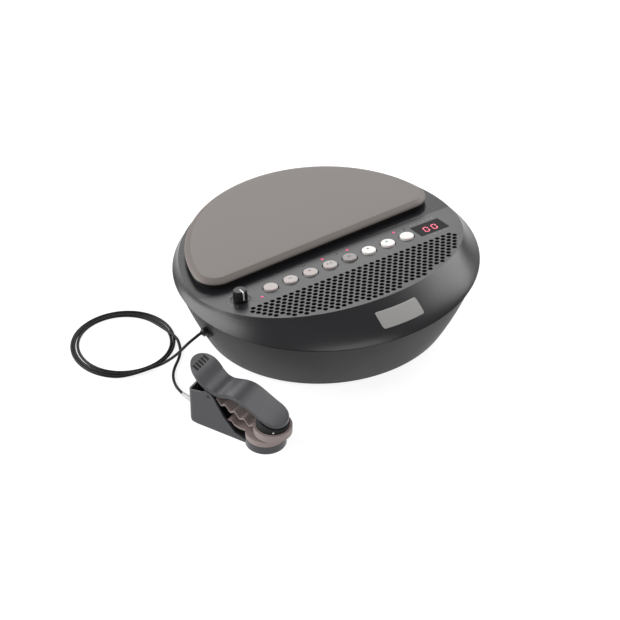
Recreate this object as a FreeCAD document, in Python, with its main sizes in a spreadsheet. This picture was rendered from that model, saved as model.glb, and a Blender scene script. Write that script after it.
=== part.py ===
import FreeCAD, Part
import Sketcher
import math
import os
import re

# Tabletop percussion pad with a built-in speaker and a clip-on drum sensor.
#
# Millimetres, +Z up.  The origin is the middle of the body on the surface it stands on,
# +X runs along the control row towards the display, and -Y is the loudspeaker side.

os.makedirs("parts", exist_ok=True)
doc = FreeCAD.newDocument("percussion_pad")
sheet = doc.addObject("Spreadsheet::Sheet", "Sizes")
V = FreeCAD.Vector
UP = V(0, 0, 1)
ALONG_X = FreeCAD.Rotation(V(0, 1, 0), 90)
ALONG_Y = FreeCAD.Rotation(V(1, 0, 0), -90)

driving = {
    # body outline and levels
    "body_width": 279, "body_depth": 262, "rim_height": 58.5, "deck_height": 67, "crest_height": 79,
    "front_lean": 36, "side_lean": 9, "back_lean": 9, "lean_power": 1.3, "shell_wall": 2.6,
    "foot_height": 3, "lower_rim": 56, "lower_inset": 2.5, "base_inset": 24.5, "shell_bulge": 1.5,
    "floor_wall": 3.2, "lip_inset": 5.4, "lip_wall": 2.2, "lip_rise": 1.8,
    # sloping control panel: rise per millimetre towards the front, from the hinge line
    "panel_slope": 0.117, "hinge_place": -2, "panel_thick": 3, "panel_seat": 2.2, "ledge_width": 9,
    # drum pad
    "pad_side_gap": 15, "pad_back_gap": 4.5, "pad_middle": 5.5, "pad_chord": 3.2, "pad_twist": 2.2,
    "pad_corner": 20, "pad_top": 76, "pad_edge": 3, "pad_skin": 3.4, "pad_skirt": 4.5,
    "seat_thick": 1.2, "seat_inset": 1.2, "foam_thick": 3, "plate_thick": 1.2,
    "piezo_radius": 13.5, "film_thick": 0.5, "film_width": 150, "film_depth": 22,
    # buttons and board, measured in the panel's own plane
    "button_first": -72.9, "button_pitch": 20.4, "button_row": -22.2, "cap_radius": 6.4,
    "cap_stand": 1.7, "cap_gap": 1, "cap_flange": 1.8, "stem_radius": 2, "stem_length": 1.9,
    "board_drop": 11, "board_thick": 1.6, "board_left": -113, "board_right": 114,
    "board_front": -32.5, "board_back": -4.5, "switch_side": 6, "switch_tall": 3.1,
    "plunger_radius": 1.75, "plunger_tall": 0.4,
    # lamps
    "lamp_row": -8.5, "lamp_radius": 1.3, "lamp_gap": 0.1, "lamp_stand": 0.35,
    # volume control
    "knob_place": -103.7, "knob_row": -22.9, "knob_radius": 6.3, "knob_tall": 9.6, "knob_lift": 0.5,
    "flute_count": 18, "flute_radius": 0.55, "well_radius": 9.3, "well_depth": 1.4, "dial_thick": 1,
    "shaft_radius": 3, "shaft_gap": 0.06, "bushing_radius": 4.2, "pot_width": 16, "pot_tall": 5.6,
    # display
    "display_place": 95.9, "display_row": -20.8, "display_width": 30.2, "display_depth": 18.9,
    "window_thick": 1.6, "window_gap": 0.1, "digit_tall": 9.6, "digit_wide": 5.4, "digit_line": 1.15,
    "digit_gap": 3.2, "digit_thick": 0.15, "module_inset": 2,
    # grille
    "hole_radius": 2.2, "hole_pitch": 6.39, "row_pitch": 4.37, "grille_row": -41.7,
    "grille_margin": 6.5, "grille_span": 107.5, "cloth_thick": 0.4,
    # loudspeaker
    "speaker_setback": 70, "speaker_radius": 52, "speaker_top": 54, "speaker_flange": 2.4,
    "cone_radius": 38, "basket_deep": 26, "magnet_radius": 30, "magnet_tall": 13, "dust_radius": 13,
    # fastening
    "post_radius": 4.5, "post_height": 40, "post_side": 102, "post_near": 16, "post_far": 80,
    "post_in": 60, "screw_radius": 1.5, "screw_head": 2.9,
    # battery bay
    "cell_radius": 7.25, "cell_length": 50.5, "cell_gap": 0.5, "cell_count": 6, "bay_middle": 50,
    "bay_wall": 2, "cover_thick": 1.9, "cover_travel": 9, "cover_gap": 0.3, "cover_lap": 2.5,
    # main board and sockets
    "main_width": 104, "main_depth": 56, "main_lift": 2, "jack_height": 33, "jack_pitch": 27,
    "jack_bore": 3.2, "jack_bush": 4.6, "phones_bore": 1.8, "phones_bush": 3.2, "dc_bore": 2.8,
    "dc_pin": 1, "sensor_height": 40.5, "sensor_row": -14, "boss_radius": 6.4, "boss_stand": 1,
    # feet
    "foot_radius": 8, "foot_side": 70, "foot_front": 56,
    # badge on the front wall
    "badge_width": 42, "badge_tall": 7.6, "badge_place": 1, "badge_lift": 7.4, "badge_proud": 0.8,
    "badge_corner": 1.5,
    # sensor lead
    "lead_diameter": 2.6, "coil_away": 40.1, "coil_row": 54.1, "coil_outer": 48.6, "coil_inner": 39,
    "coil_tall": 7, "relief_length": 15.5, "relief_level": 11.5, "relief_turn": 15,
    # sensor clip
    "clip_away": 32.1, "clip_row": -61.8, "clip_turn": -63.2, "clip_width": 22, "clip_wall": 1.8,
    "pivot_along": 20, "pivot_height": 34, "pivot_radius": 1.6, "pivot_gap": 0.05,
    "lever_thick": 3, "lever_rear": 15, "lever_nose": 13.6, "nose_forward": 7, "jaw_radius": 16.4,
    "jaw_low": 14.6, "jaw_tall": 6.8, "foot_disc": 17.5, "foot_along": 70, "foot_disc_tall": 7,
    "liner_tall": 5.6, "clip_corner": 4,
}
for row, (alias, amount) in enumerate(driving.items(), start=1):
    sheet.set(f"A{row}", alias)
    sheet.set(f"B{row}", str(amount))
    sheet.setAlias(f"B{row}", alias)
doc.recompute()


def sized(text):
    """The same expression with each alias looked up in the sheet."""
    return re.sub(r"[a-z]+(?:_[a-z]+)+", r"Sizes.\g<0>", str(text))


def number(text):
    """What an expression is worth now."""
    return float(sheet.evalExpression(sized(text)))


def bind(obj, **texts):
    for prop, text in texts.items():
        obj.setExpression(prop, sized(text))
    return obj


def place(obj, x="0", y="0", z="0", turn=None):
    """Bind an object's position to the sheet."""
    if turn:
        obj.Placement = FreeCAD.Placement(V(0, 0, 0), turn)
    for axis, text in zip("xyz", (x, y, z)):
        obj.setExpression("Placement.Base." + axis, sized(text))
    return obj


def on_panel(obj):
    """Carry an object built in the panel's own plane to its place on the slope."""
    obj.Placement = FreeCAD.Placement(V(0, 0, 0), FreeCAD.Rotation(V(1, 0, 0), -1))
    place(obj, "0", "hinge_place", "deck_height")
    obj.setExpression("Placement.Rotation.Angle", sized("-atan(panel_slope)"))
    return obj


clip_place = "-(body_width / 2 + clip_away)"


def in_clip(obj):
    """Carry an object built along the clip's own length to where the clip lies."""
    obj.Placement = FreeCAD.Placement(V(0, 0, 0), FreeCAD.Rotation(UP, -1))
    place(obj, clip_place, "clip_row", "0")
    obj.setExpression("Placement.Rotation.Angle", sized("clip_turn"))
    return obj


def box(name, low, size):
    obj = doc.addObject("Part::Box", name)
    bind(obj, Length=size[0], Width=size[1], Height=size[2])
    return place(obj, *low)


def cylinder(name, radius, tall, at=("0", "0", "0"), turn=None):
    obj = doc.addObject("Part::Cylinder", name)
    bind(obj, Radius=radius, Height=tall)
    return place(obj, *at, turn=turn)


def cut(name, base, *tools):
    obj = doc.addObject("Part::Cut", name)
    obj.Base = base
    obj.Tool = tools[0] if len(tools) == 1 else join(name + "_tools", *tools)
    return obj


def join(name, *shapes):
    obj = doc.addObject("Part::MultiFuse", name)
    obj.Shapes = list(shapes)
    return obj


def meet(name, base, tool):
    obj = doc.addObject("Part::Common", name)
    obj.Base = base
    obj.Tool = tool
    return obj


def group(name, *shapes):
    obj = doc.addObject("Part::Compound", name)
    obj.Links = list(shapes)
    return obj


def shaped(name, shape):
    """A piece that neither a sketch nor a primitive gives, such as a lofted shell."""
    obj = doc.addObject("Part::Feature", name)
    obj.Shape = shape
    return obj


def body_sketch(name, plane, outline):
    """A body with one closed outline whose corners are bound to the sheet."""
    body = doc.addObject("PartDesign::Body", name)
    origin = [f for f in body.Origin.OriginFeatures if f.Role == plane][0]
    sketch = body.newObject("Sketcher::SketchObject", name + "_sketch")
    sketch.AttachmentSupport = [(origin, "")]
    sketch.MapMode = "FlatFace"
    corners = [V(number(a), number(b), 0) for a, b in outline]
    count = len(corners)
    for k, corner in enumerate(corners):
        sketch.addGeometry(Part.LineSegment(corner, corners[(k + 1) % count]), False)
    for k in range(count):
        sketch.addConstraint(Sketcher.Constraint("Coincident", k, 2, (k + 1) % count, 1))
    for k, (corner, texts) in enumerate(zip(corners, outline)):
        for kind, amount, text, axis in (
            ("DistanceX", corner.x, texts[0], -2),
            ("DistanceY", corner.y, texts[1], -1),
        ):
            if str(text) == "0":
                sketch.addConstraint(Sketcher.Constraint("PointOnObject", k, 1, axis))
                continue
            index = sketch.addConstraint(Sketcher.Constraint(kind, -1, 1, k, 1, amount))
            sketch.setExpression(f"Constraints[{index}]", sized(text))
    doc.recompute()
    return body, sketch


def turned(name, outline):
    """A body turned about Z from half its section, given as radius and height."""
    body, sketch = body_sketch(name, "XZ_Plane", outline)
    turn = body.newObject("PartDesign::Revolution", name + "_turn")
    turn.Profile = sketch
    turn.ReferenceAxis = (sketch, ["V_Axis"])
    turn.Angle = 360
    body.Tip = turn
    return body


def padded(name, plane, outline, length, midplane=False):
    """A body of one section pushed straight out of its plane."""
    body, sketch = body_sketch(name, plane, outline)
    pad = body.newObject("PartDesign::Pad", name + "_pad")
    pad.Profile = sketch
    pad.setExpression("Length", sized(length))
    pad.Midplane = midplane
    body.Tip = pad
    return body


nodes = []


def node(obj, label):
    """Name a finished piece and list it for export."""
    obj.Label = label
    nodes.append(obj)
    return obj


# ------------------------------------------------------------------ body shells
half_width = number("body_width / 2")
half_depth = number("body_depth / 2")
rim = number("rim_height")
deck = number("deck_height")
slope = number("panel_slope")
hinge = number("hinge_place")
wall = number("shell_wall")
FAR = 2 * max(half_width, half_depth)


def oval(width, front, back, level):
    """A level closed outline with its seam always on +X."""
    circle = Part.Circle(V(0, 0, 0), UP, 1).toShape()
    stretch = FreeCAD.Matrix()
    stretch.scale(V(width, (front + back) / 2, 1))
    edge = circle.transformGeometry(stretch)
    edge.translate(V(0, (back - front) / 2, level))
    return Part.Wire([edge])


def upper_loft(inset, skirt=0):
    """The upper shell's outer form moved in by inset, with a straight skirt below its rim."""
    outlines = []
    if skirt:
        outlines.append(oval(half_width - inset, half_depth - inset, half_depth - inset, rim - skirt))
    for share in (0, 0.2, 0.4, 0.7, 1, 1.25):
        side = number("side_lean") * (1 - (1 - min(share, 1)) ** 3)
        front = number("front_lean") * share ** number("lean_power")
        back = number("back_lean") * share
        level = rim + share * (number("crest_height") - rim)
        outlines.append(oval(half_width - side - inset, half_depth - front - inset,
                             half_depth - back - inset, level))
    if skirt:
        column = Part.makeLoft(outlines[:2], True)
        return column.fuse(Part.makeLoft(outlines[1:], True))
    return Part.makeLoft(outlines, True)


def lower_loft(inset, bottom):
    """The lower shell's outer form moved in by inset, from a level up to its rim."""
    low = number("foot_height")
    high = number("lower_rim")
    outlines = []
    for share in (0, 0.35, 0.7, 1):
        level = bottom + share * (high - bottom)
        rise = (level - low) / (high - low)
        taper = number("base_inset") + rise * (number("lower_inset") - number("base_inset"))
        bulge = number("shell_bulge") * 4 * rise * (1 - rise)
        gone = inset + taper - bulge
        outlines.append(oval(half_width - gone, half_depth - gone, half_depth - gone, level))
    return Part.makeLoft(outlines, True)


def below_deck(deck_drop, panel_drop):
    """Everything below the flat deck and the sloping panel, each lowered by its drop."""
    tilt = math.sqrt(1 + slope ** 2)
    at_hinge = deck - panel_drop * tilt
    corners = [(FAR, -10), (FAR, deck - deck_drop), (hinge, deck - deck_drop), (hinge, at_hinge),
               (-FAR, at_hinge + slope * (FAR + hinge)), (-FAR, -10)]
    if abs(at_hinge - deck + deck_drop) < 0.001:
        corners.pop(3)
    points = [V(-FAR, y, z) for y, z in corners]
    return Part.Face(Part.makePolygon(points + points[:1])).extrude(V(2 * FAR, 0, 0))


def front_of(line):
    """Everything on the loudspeaker side of a line along X."""
    return Part.makeBox(2 * FAR, FAR, 4 * deck, V(-FAR, line - FAR, -deck))


panel_thick = number("panel_thick")
panel_seat = number("panel_seat")
ledge = number("ledge_width")
form = upper_loft(0)
crown = form.common(below_deck(0, panel_thick))
hollow = upper_loft(wall, 3).common(below_deck(wall, panel_thick + panel_seat))
mouth = upper_loft(wall + ledge).common(below_deck(wall, 0)).common(front_of(hinge - 3))
crown_shell = shaped("crown_shell", crown.cut(hollow).cut(mouth))
plate = form.common(below_deck(0, 0)).cut(below_deck(0, panel_thick)).common(front_of(hinge))
panel_plate = shaped("panel_plate", plate)

posts = [("post_side", "post_near"), ("-post_side", "post_near"),
         ("post_in", "post_far"), ("-post_in", "post_far")]
upper_posts = []
for k, (x, y) in enumerate(posts):
    post = cylinder(f"upper_post_{k}", "post_radius", "deck_height - shell_wall / 2 - post_height",
                    (x, y, "post_height"))
    bore = cylinder(f"upper_bore_{k}", "screw_radius", "14", (x, y, "post_height"))
    upper_posts.append(cut(f"upper_boss_{k}", post, bore))
node(join("upper_shell_solid", crown_shell, *upper_posts), "upper_shell")

# lower shell: tapered wall, floor, lip behind the shadow gap, posts and battery bay
low = number("foot_height")
floor_top = low + number("floor_wall")
bowl = lower_loft(0, low).cut(lower_loft(wall, floor_top))
lip = number("lip_inset")
lip_top = number("rim_height + lip_rise")
lip_low = number("lower_rim - 3")
lip_ring = Part.makeLoft([oval(half_width - lip, half_depth - lip, half_depth - lip, z)
                          for z in (lip_low, lip_top)], True)
lip = lip + number("lip_wall")
lip_ring = lip_ring.cut(Part.makeLoft([oval(half_width - lip, half_depth - lip, half_depth - lip, z)
                                       for z in (lip_low - 1, lip_top + 1)], True))
bowl_shell = shaped("bowl_shell", bowl.fuse(lip_ring))

lower_posts = []
case_screws = []
for k, (x, y) in enumerate(posts):
    post = cylinder(f"lower_post_{k}", "post_radius", "post_height - foot_height", (x, y, "foot_height"))
    lower_posts.append(post)
well_depth = "post_height - foot_height - 6"
screw_holes = []
for k, (x, y) in enumerate(posts):
    screw_holes.append(cylinder(f"case_hole_{k}", "screw_radius + 0.2", "post_height", (x, y, "0")))
    screw_holes.append(cylinder(f"case_well_{k}", "screw_head + 0.2", well_depth, (x, y, "foot_height")))
    shank = cylinder(f"case_shank_{k}", "screw_radius", "16", (x, y, "post_height - 6"))
    head = cylinder(f"case_head_{k}", "screw_head", "2", (x, y, "post_height - 8"))
    case_screws.append(join(f"case_screw_{k}", head, shank))
node(group("case_screw_set", *case_screws), "case_screws")

# the battery bay stands on the floor and its mouth is closed by the sliding cover
cell_pitch = "(2 * cell_radius + cell_gap)"
bay_width = f"cell_count * {cell_pitch} + 2"
bay_depth = "cell_length + 7"
bay_tall = "2 * cell_radius + 1.5"
bay_low = "bay_middle - (cell_length + 7) / 2"
floor_level = "foot_height + floor_wall"
bay_walls = box("bay_walls", (f"-({bay_width}) / 2 - bay_wall", f"{bay_low} - bay_wall", "foot_height + 1"),
                (f"{bay_width} + 2 * bay_wall", f"{bay_depth} + 2 * bay_wall",
                 f"floor_wall - 1 + {bay_tall} + bay_wall"))
bay_room = box("bay_room", (f"-({bay_width}) / 2", bay_low, "0"),
               (bay_width, bay_depth, f"{floor_level} + {bay_tall}"))
cover_slot = box("cover_slot", (f"-({bay_width}) / 2 - cover_lap - cover_gap",
                                f"{bay_low} - cover_lap - cover_gap", "0"),
                 (f"{bay_width} + 2 * (cover_lap + cover_gap)",
                  f"{bay_depth} + 2 * (cover_lap + cover_gap) + cover_travel",
                  "foot_height + cover_thick + cover_gap"))

# stand-offs for the main board, on the bay's roof
bay_roof = f"{floor_level} + {bay_tall} + bay_wall"
standoffs = [cylinder(f"standoff_{k}", "2.5", "main_lift + 0.5", (x, y, f"{bay_roof} - 0.5"))
             for k, (x, y) in enumerate([("40", "bay_middle - 20"), ("-40", "bay_middle - 20"),
                                         ("40", "bay_middle + 20"), ("-40", "bay_middle + 20")])]

# four posts under the loudspeaker's flange
speaker_row = "speaker_setback - body_depth / 2"
flange_low = "speaker_top - speaker_flange"
speaker_posts = []
speaker_screws = []
speaker_holes = []
for k in range(4):
    angle = math.radians(45 + 90 * k)
    x = f"{math.cos(angle):.6f} * (speaker_radius - 4)"
    y = f"{speaker_row} + {math.sin(angle):.6f} * (speaker_radius - 4)"
    speaker_posts.append(cylinder(f"speaker_post_{k}", "3.4", f"{flange_low} - foot_height",
                                  (x, y, "foot_height")))
    speaker_holes.append(cylinder(f"speaker_bore_{k}", "1.2", "10", (x, y, f"{flange_low} - 9.5")))
    shank = cylinder(f"speaker_shank_{k}", "1.2", "speaker_flange + 8", (x, y, f"{flange_low} - 8"))
    head = cylinder(f"speaker_head_{k}", "2.4", "1.6", (x, y, "speaker_top"))
    speaker_screws.append(join(f"speaker_screw_{k}", shank, head))
node(group("speaker_screw_set", *speaker_screws), "speaker_screws")

# sockets: one on the left wall for the sensor, the others along the back wall
def wall_place(x, y, level, sign_x, sign_y):
    """How far the lower shell's outer face lies from the middle, along one axis."""
    rise = (level - low) / (number("lower_rim") - low)
    gone = number("base_inset") + rise * number("lower_inset - base_inset")
    gone -= number("shell_bulge") * 4 * rise * (1 - rise)
    if sign_x:
        return sign_x * (half_width - gone) * math.sqrt(1 - (y / (half_depth - gone)) ** 2)
    return sign_y * (half_depth - gone) * math.sqrt(1 - (x / (half_width - gone)) ** 2)


left_face = f"{wall_place(0, number('sensor_row'), number('sensor_height'), -1, 0):.4f}"
sensor_axis = ("sensor_row", "sensor_height")
sensor_boss = cylinder("sensor_boss", "boss_radius", "boss_stand + 6",
                       (left_face + " - boss_stand", *sensor_axis), ALONG_X)
sensor_hole = cylinder("sensor_hole", "jack_bush + 0.1", "boss_stand + 12",
                       (left_face + " - boss_stand - 1", *sensor_axis), ALONG_X)
bush = cylinder("sensor_bush", "jack_bush", "boss_stand + 7",
                (left_face + " - boss_stand", *sensor_axis), ALONG_X)
case = box("sensor_case", (left_face + " + 7", "sensor_row - 7", "sensor_height - 6"), ("22", "14", "12"))
bore = cylinder("sensor_bore", "jack_bore", "24", (left_face + " - boss_stand - 1", *sensor_axis), ALONG_X)
node(cut("sensor_jack_solid", join("sensor_jack_body", bush, case), bore), "sensor_jack")

jack_holes = []
jacks = {}
jack_places = {}
sockets = {
    "output_jack": ("jack_bush", "jack_bore", -1.5), "phones_jack": ("phones_bush", "phones_bore", -0.5),
    "aux_jack": ("phones_bush", "phones_bore", 0.5), "dc_inlet": ("jack_bush", "dc_bore", 1.5),
}
for label, (bush_size, bore_size, step) in sockets.items():
    x = number("jack_pitch") * step
    face = wall_place(x, 0, number("jack_height"), 0, 1)
    jack_places[label] = (x, face)
    at = (f"{x}", f"{face:.4f} - 9", "jack_height")
    jack_holes.append(cylinder(label + "_hole", bush_size + " + 0.1", "15", at, ALONG_Y))
    bush = cylinder(label + "_bush", bush_size, "9.8", at, ALONG_Y)
    case = box(label + "_case", (f"{x - 6}", f"{face:.4f} - 21", "jack_height - 6"), ("12", "12", "12"))
    bore = cylinder(label + "_bore", bore_size, "19", (f"{x}", f"{face:.4f} - 18", "jack_height"), ALONG_Y)
    jack = cut(label + "_solid", join(label + "_body", bush, case), bore)
    if label == "dc_inlet":
        pin = cylinder("dc_pin_rod", "dc_pin", "13", (f"{x}", f"{face:.4f} - 18.5", "jack_height"), ALONG_Y)
        jack = join("dc_inlet_pinned", jack, pin)
    jacks[label] = jack
node(jacks["output_jack"], "output_jack")
node(group("small_jack_set", jacks["phones_jack"], jacks["aux_jack"]), "small_jacks")
node(jacks["dc_inlet"], "dc_inlet")

lower_body = join("lower_body", bowl_shell, *lower_posts, *speaker_posts, *standoffs, bay_walls,
                  sensor_boss)
lower_cuts = join("lower_cuts", *screw_holes, *speaker_holes, *jack_holes, bay_room, cover_slot,
                  sensor_hole)
node(cut("lower_shell_solid", lower_body, lower_cuts), "lower_shell")

# rubber feet
feet = []
for k, (x, y) in enumerate([("foot_side", "foot_front"), ("-foot_side", "foot_front"),
                            ("foot_side", "-foot_front"), ("-foot_side", "-foot_front"), ("0", "0")]):
    feet.append(cylinder(f"foot_{k}", "foot_radius", "foot_height", (x, y, "0")))
node(group("foot_set", *feet), "rubber_feet")

# battery cover, cells and contact springs
cover = box("cover_plate",
            (f"-({bay_width}) / 2 - cover_lap", f"{bay_low} - cover_lap", "foot_height + 0.05"),
            (f"{bay_width} + 2 * cover_lap", f"{bay_depth} + 2 * cover_lap", "cover_thick - 0.05"))
ribs = [box(f"cover_grip_{k}", ("-14", f"bay_middle + cell_length / 2 - 8 + {3 * k}", "foot_height - 0.6"),
            ("28", "1.2", "1")) for k in range(3)]
node(join("cover_solid", cover, *ribs), "battery_cover")
cells = []
contacts = []
for k in range(int(number("cell_count"))):
    x = f"({k} - (cell_count - 1) / 2) * {cell_pitch}"
    middle = f"{floor_level} + cell_radius + 0.4"
    cells.append(join(f"cell_{k}",
                      cylinder(f"cell_can_{k}", "cell_radius", "cell_length - 1.5",
                               (x, "bay_middle - cell_length / 2", middle), ALONG_Y),
                      cylinder(f"cell_tip_{k}", "2.7", "cell_length",
                               (x, "bay_middle - cell_length / 2", middle), ALONG_Y)))
    for side, start in (("near", f"{bay_low}"), ("far", "bay_middle + cell_length / 2")):
        contacts.append(cylinder(f"contact_{side}_{k}", "4.5", "(7 / 2)", (x, start, middle), ALONG_Y))
node(group("cell_set", *cells), "battery_cells")
node(group("contact_set", *contacts), "battery_contacts")

# main board with its parts
board_level = f"{bay_roof} + main_lift"
main_board = box("main_board", ("-main_width / 2", "bay_middle - main_depth / 2", board_level),
                 ("main_width", "main_depth", "board_thick"))
chips = [box(f"chip_{k}", (x, y, f"{board_level} + board_thick"), size) for k, (x, y, size) in enumerate([
    ("-12", "bay_middle - 8", ("20", "20", "1.8")), ("22", "bay_middle - 14", ("12", "9", "1.5")),
    ("-46", "bay_middle - 4", ("16", "10", "1.5")), ("24", "bay_middle + 6", ("24", "10", "3.2"))])]
cans = [cylinder(f"capacitor_{k}", "4", "11", (x, y, f"{board_level} + board_thick"))
        for k, (x, y) in enumerate([("-45", "bay_middle - 18"), ("-34", "bay_middle - 20"),
                                    ("45", "bay_middle + 14")])]
node(join("main_board_solid", main_board, *chips, *cans), "main_circuit_board")

# ------------------------------------------------------------------ loudspeaker
flange = flange_low
cone_low = f"{flange} - basket_deep + 6.5"
frame = turned("speaker_basket", [
    ("cone_radius + 4", "speaker_top"), ("speaker_radius", "speaker_top"), ("speaker_radius", flange),
    ("cone_radius + 6.4", flange), ("magnet_radius + 1", f"{flange} - basket_deep"),
    ("14", f"{flange} - basket_deep"), ("14", f"{flange} - basket_deep + 1.4"),
    ("magnet_radius - 0.2", f"{flange} - basket_deep + 1.4"), ("cone_radius + 4.8", f"{flange} + 0.4"),
    ("cone_radius + 4", f"{flange} + 0.4")])
flange_holes = [cylinder(f"flange_hole_{k}", "1.3", "20",
                         (f"{math.cos(math.radians(45 + 90 * k)):.6f} * (speaker_radius - 4)",
                          f"{math.sin(math.radians(45 + 90 * k)):.6f} * (speaker_radius - 4)",
                          f"{flange} - 6")) for k in range(4)]
node(place(cut("speaker_frame_solid", frame, join("flange_holes", *flange_holes)), "0", speaker_row, "0"),
     "speaker_frame")
node(place(turned("magnet_ring", [
    ("0", f"{flange} - basket_deep - magnet_tall"),
    ("magnet_radius", f"{flange} - basket_deep - magnet_tall"),
    ("magnet_radius", f"{flange} - basket_deep"), ("0", f"{flange} - basket_deep")]),
    "0", speaker_row, "0"), "speaker_magnet")
node(place(turned("cone_sheet", [
    ("cone_radius - 1.2", "speaker_top - 1"), ("cone_radius", "speaker_top - 1"),
    ("cone_radius", "speaker_top - 1.8"), ("dust_radius", cone_low), ("dust_radius - 1.1", cone_low)]),
    "0", speaker_row, "0"), "speaker_cone")
node(place(turned("surround_roll", [
    ("cone_radius", "speaker_top - 1.8"), ("cone_radius + 3.9", "speaker_top - 1.8"),
    ("cone_radius + 3.9", "speaker_top - 0.8"), ("cone_radius + 2.8", "speaker_top + 0.5"),
    ("cone_radius + 1.1", "speaker_top + 0.5"), ("cone_radius", "speaker_top - 0.8")]),
    "0", speaker_row, "0"), "speaker_surround")
node(place(turned("dust_dome", [
    ("0", f"{cone_low} + 1.4"), ("dust_radius", f"{cone_low} + 1.4"),
    ("dust_radius - 2", f"{cone_low} + 3.4"), ("dust_radius - 6.5", f"{cone_low} + 5.6"),
    ("0", f"{cone_low} + 6.6")]), "0", speaker_row, "0"), "speaker_dust_cap")

# ------------------------------------------------------------------ drum pad
pad_row = number("pad_middle")


def d_slab(inset, bottom, top):
    """A D-shaped slab: the pad's outline moved in by inset, between two levels."""
    width = half_width - number("pad_side_gap") - inset
    depth = half_depth - number("pad_back_gap") - pad_row - inset
    slab = Part.Face(oval(width, depth - pad_row, depth + pad_row, bottom)).extrude(V(0, 0, top - bottom))
    chord = number("pad_chord") + inset
    slab = slab.cut(front_of(chord))
    upright = [e for e in slab.Edges if abs(e.Vertexes[0].Y - chord) < 0.01
               and abs(e.Vertexes[-1].Y - chord) < 0.01 and e.BoundBox.ZLength > 0.9 * (top - bottom)]
    slab = slab.makeFillet(number("pad_corner") - inset, upright)
    slab.rotate(V(0, pad_row, 0), UP, number("pad_twist"))
    return slab


skirt_low = deck + number("seat_thick")
pad_top = number("pad_top")
outer = d_slab(0, skirt_low, pad_top)
outer = outer.makeFillet(number("pad_edge"), [e for e in outer.Edges if e.BoundBox.ZMin > pad_top - 0.01])
skirt = number("pad_skirt")
inside = d_slab(skirt, skirt_low - 1, pad_top - number("pad_skin"))
node(shaped("pad_cap", outer.cut(inside)), "percussion_pad")
seat = d_slab(number("seat_inset"), deck, skirt_low).cut(d_slab(skirt + 0.4, deck - 1, skirt_low + 1))
node(shaped("pad_gasket", seat), "pad_seat")
foam_top = deck + number("foam_thick")
plate_top = foam_top + number("plate_thick")
piezo = number("piezo_radius")
pocket = Part.makeCylinder(piezo + 1.5, 2 * number("foam_thick"), V(0, half_depth / 2, deck - 1))
node(shaped("foam_sheet", d_slab(skirt + 0.6, deck, foam_top).cut(pocket)), "pad_foam_cushion")
node(shaped("steel_plate", d_slab(skirt + 0.6, foam_top, plate_top)), "pad_backing_plate")
node(cylinder("piezo_disc", "piezo_radius", "0.4", ("0", f"{half_depth / 2}", f"{foam_top} - 0.4")),
     "head_piezo_sensor")
node(box("pressure_film", ("-film_width / 2", f"{half_depth / 2} - film_depth / 2", f"{plate_top}"),
         ("film_width", "film_depth", "film_thick")), "pressure_sensor_film")

# ------------------------------------------------------------------ control panel
# Everything here is built in the panel's own plane: Y runs up the slope's back, Z is its normal.
underside = "-panel_thick"
board_top = "-board_drop"
count = 8
button_places = [f"button_first + {k} * button_pitch" for k in range(count)]
lamps_lit = [("-11.4", "lamp_row"), ("14.9", "lamp_row"), ("65", "lamp_row"), ("-86.7", "-30.4")]
lamps_unlit = [("-87.8", "lamp_row"), ("-31", "lamp_row"), ("4.5", "lamp_row"), ("76", "lamp_row")]
through = "panel_thick + 2"
cutters = [cylinder(f"button_hole_{k}", "cap_radius + cap_gap", through,
                    (x, "button_row", underside + " - 1"))
           for k, x in enumerate(button_places)]
cutters += [cylinder(f"lamp_hole_{k}", "lamp_radius + lamp_gap", through, (x, y, underside + " - 1"))
            for k, (x, y) in enumerate(lamps_lit + lamps_unlit)]
cutters.append(cylinder("knob_well", "well_radius", "well_depth + 1",
                        ("knob_place", "knob_row", "-well_depth")))
cutters.append(cylinder("knob_hole", "bushing_radius + 0.15", through,
                        ("knob_place", "knob_row", underside + " - 1")))
cutters.append(box("display_hole", ("display_place - display_width / 2 - window_gap",
                                    "display_row - display_depth / 2 - window_gap", underside + " - 1"),
                   ("display_width + 2 * window_gap", "display_depth + 2 * window_gap", through)))
tools = on_panel(join("panel_tools", *cutters))

panel_posts = [("-88.4", "-20"), ("button_first + 3.5 * button_pitch", "-22"),
               ("button_first + 7.5 * button_pitch", "-20")]
post_set = []
board_holes = []
board_screws = []
for k, (x, y) in enumerate(panel_posts):
    post = cylinder(f"board_post_{k}", "1.8", "board_drop - panel_thick + 0.5", (x, y, board_top))
    bore = cylinder(f"board_bore_{k}", "0.8", "6", (x, y, board_top + " - 0.5"))
    post_set.append(cut(f"board_standoff_{k}", post, bore))
    board_holes.append(cylinder(f"board_hole_{k}", "0.95", "4", (x, y, board_top + " - 3")))
    shank = cylinder(f"board_shank_{k}", "0.8", "board_thick + 5", (x, y, board_top + " - board_thick"))
    head = cylinder(f"board_head_{k}", "1.7", "1", (x, y, board_top + " - board_thick - 1"))
    board_screws.append(join(f"board_screw_{k}", head, shank))

# grille: staggered rows of round holes, kept clear of the panel's front edge
holes = []
tilt = math.sqrt(1 + slope ** 2)
pitch = number("hole_pitch")
margin = number("grille_margin")
side_reach = number("grille_span")
rows = 0
while True:
    along = number("grille_row") - rows * number("row_pitch")
    y = hinge + along / tilt
    level = deck - slope * (y - hinge)
    share = (level - rim) / (number("crest_height") - rim)
    front = number("front_lean") * share ** number("lean_power")
    side = number("side_lean") * (1 - (1 - min(share, 1)) ** 3)
    inside_share = 1 - (y / (half_depth - front - margin)) ** 2
    if inside_share <= 0:
        break
    reach = min((half_width - side - margin) * math.sqrt(inside_share), side_reach)
    columns = int((reach + pitch * (rows % 2) / 2) / pitch)
    for k in range(-columns - 1, columns + 2):
        x = (k + 0.5 * (rows % 2)) * pitch
        if abs(x) < reach:
            holes.append(Part.makeCylinder(number("hole_radius"), number("panel_thick") + 2,
                                           V(x, along, -number("panel_thick") - 1)))
    rows += 1
print("grille rows", rows, "holes", len(holes))
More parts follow.
